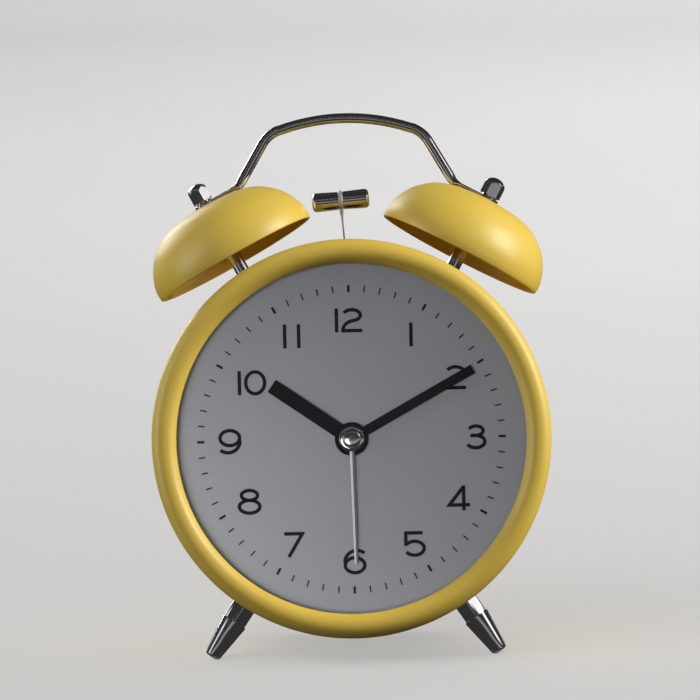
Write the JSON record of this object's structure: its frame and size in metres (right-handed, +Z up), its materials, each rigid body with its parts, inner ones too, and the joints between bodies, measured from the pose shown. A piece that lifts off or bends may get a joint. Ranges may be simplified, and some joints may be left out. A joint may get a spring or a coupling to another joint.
{
  "type": "alarm clock",
  "caption": "Twin-bell alarm clock: round drum case leaning back on splayed feet, open dial with hour, minute, second and alarm hands, hammer between bells, carrying handle.",
  "frame": {"origin": "centre of the footprint box, on the surface the clock stands on", "axes": "+X to the right of a person reading the dial, +Y away from the reader towards the back, +Z up; the dial faces -Y and leans back by 10.5 degrees"},
  "size_m": [0.12, 0.0742, 0.1609],
  "materials": {
    "yellow_paint": "satin yellow paint on steel",
    "chrome": "polished",
    "steel": "satin",
    "lens_glass": "clear",
    "dial_grey": "matt grey",
    "ring_grey": "matt",
    "hand_black": "matt black",
    "brass": "satin",
    "black_plastic": "fine grain",
    "white_plastic": "fine grain",
    "board_green": "solder mask",
    "copper": "enamelled wire",
    "iron": "bare",
    "battery_skin": "printed sleeve"
  },
  "bodies": {
    "case": {"case_drum": "yellow_paint", "front_bezel": "yellow_paint", "lens": "lens_glass", "dial_spacer_ring": "ring_grey", "dial_plate": "dial_grey", "dial_retaining_ring": "black_plastic", "back_pillars": "steel", "back_cover": "yellow_paint", "back_cover_screws": "steel", "right_bell": "yellow_paint", "left_bell": "yellow_paint", "right_bell_post": "chrome", "left_bell_post": "chrome", "right_bell_nut": "chrome", "left_bell_nut": "chrome", "right_foot": "chrome", "left_foot": "chrome", "inner_nuts": "steel", "handle": "chrome", "hammer_slot_grommet": "black_plastic", "hammer_pivot_pin": "steel", "striker_bracket": "steel", "striker_yoke": "iron", "striker_coil": "copper", "movement_front_plate": "black_plastic", "movement_mid_bridge": "white_plastic", "movement_housing": "black_plastic", "stepper_stator": "iron", "stepper_coil": "copper", "circuit_board": "board_green", "board_components": "black_plastic", "battery_tray": "black_plastic", "battery": "battery_skin", "battery_contacts": "steel", "alarm_switch_body": "black_plastic"},
    "second_arbor": {"seconds_wheel": "white_plastic", "second_hand": "chrome", "second_hand_cap": "chrome"},
    "third_arbor": {"third_wheel": "white_plastic"},
    "centre_arbor": {"centre_wheel": "white_plastic"},
    "intermediate_arbor": {"intermediate_wheel": "white_plastic"},
    "rotor_arbor": {"stepper_rotor": "iron"},
    "minute_arbor": {"minute_pipe": "brass", "minute_hand": "hand_black"},
    "motion_arbor": {"motion_wheel": "white_plastic"},
    "hour_arbor": {"hour_wheel": "white_plastic", "hour_hand": "hand_black"},
    "time_setter": {"time_set_shaft": "white_plastic", "time_set_knob": "black_plastic"},
    "alarm_arbor": {"alarm_wheel": "white_plastic", "alarm_hand": "hand_black"},
    "alarm_setter": {"alarm_set_shaft": "white_plastic", "alarm_set_knob": "black_plastic"},
    "hammer": {"hammer_head": "chrome", "hammer_stem": "steel", "hammer_lever": "white_plastic", "hammer_armature": "iron"},
    "alarm_switch": {"alarm_switch_slider": "black_plastic"},
    "battery_lid": {"battery_door": "black_plastic"}
  },
  "joints": [
    {"name": "second_spin", "type": "hinge", "parent": "case", "child": "second_arbor", "pos_m": [0, -0.0079, 0.06383], "axis": [0, 0.9833, -0.1822], "continuous": true},
    {"name": "third_spin", "type": "hinge", "parent": "case", "child": "third_arbor", "pos_m": [0, -0.00604, 0.07386], "axis": [0, 0.9833, -0.1822], "continuous": true},
    {"name": "centre_spin", "type": "hinge", "parent": "case", "child": "centre_arbor", "pos_m": [0, -0.0079, 0.06383], "axis": [0, 0.9833, -0.1822], "continuous": true},
    {"name": "intermediate_spin", "type": "hinge", "parent": "case", "child": "intermediate_arbor", "pos_m": [0.0042, -0.00923, 0.05668], "axis": [0, 0.9833, -0.1822], "continuous": true},
    {"name": "rotor_spin", "type": "hinge", "parent": "case", "child": "rotor_arbor", "pos_m": [0.00303, -0.01043, 0.05017], "axis": [0, 0.9833, -0.1822], "continuous": true},
    {"name": "minute_spin", "type": "hinge", "parent": "case", "child": "minute_arbor", "pos_m": [0, -0.0079, 0.06383], "axis": [0, 0.9833, -0.1822], "continuous": true},
    {"name": "motion_spin", "type": "hinge", "parent": "case", "child": "motion_arbor", "pos_m": [-0.00748, -0.00869, 0.05958], "axis": [0, 0.9833, -0.1822], "continuous": true},
    {"name": "hour_spin", "type": "hinge", "parent": "case", "child": "hour_arbor", "pos_m": [0, -0.0079, 0.06383], "axis": [0, 0.9833, -0.1822], "continuous": true},
    {"name": "time_set_spin", "type": "hinge", "parent": "case", "child": "time_setter", "pos_m": [-0.0162, -0.00791, 0.0638], "axis": [0, 0.9833, -0.1822], "continuous": true},
    {"name": "alarm_set_spin", "type": "hinge", "parent": "case", "child": "alarm_setter", "pos_m": [0.0162, -0.0079, 0.06383], "axis": [0, 0.9833, -0.1822], "continuous": true},
    {"name": "alarm_spin", "type": "hinge", "parent": "case", "child": "alarm_arbor", "pos_m": [0, -0.0079, 0.06383], "axis": [0, 0.9833, -0.1822], "continuous": true},
    {"name": "hammer_swing", "type": "hinge", "parent": "case", "child": "hammer", "pos_m": [0, 0.009, 0.11114], "axis": [0, 0.9833, -0.1822], "range_deg": [-3.6, 12], "stiffness_Nm_per_rad": 0.02},
    {"name": "alarm_switch_slide", "type": "slide", "parent": "case", "child": "alarm_switch", "axis": [1, 0, 0], "range_m": [0, 0.006]},
    {"name": "battery_door_slide", "type": "slide", "parent": "case", "child": "battery_lid", "axis": [0, 0.1822, 0.9833], "range_m": [0, 0.0112]}
  ],
  "couplings": [
    {"joint": "third_spin", "follows": "second_spin", "ratio": -0.13333},
    {"joint": "centre_spin", "follows": "second_spin", "ratio": 0.016667},
    {"joint": "intermediate_spin", "follows": "second_spin", "ratio": -6},
    {"joint": "rotor_spin", "follows": "second_spin", "ratio": 30},
    {"joint": "motion_spin", "follows": "minute_spin", "ratio": -0.33333},
    {"joint": "hour_spin", "follows": "minute_spin", "ratio": 0.083333},
    {"joint": "time_set_spin", "follows": "minute_spin", "ratio": 0.66667},
    {"joint": "alarm_spin", "follows": "alarm_set_spin", "ratio": -1.25}
  ]
}
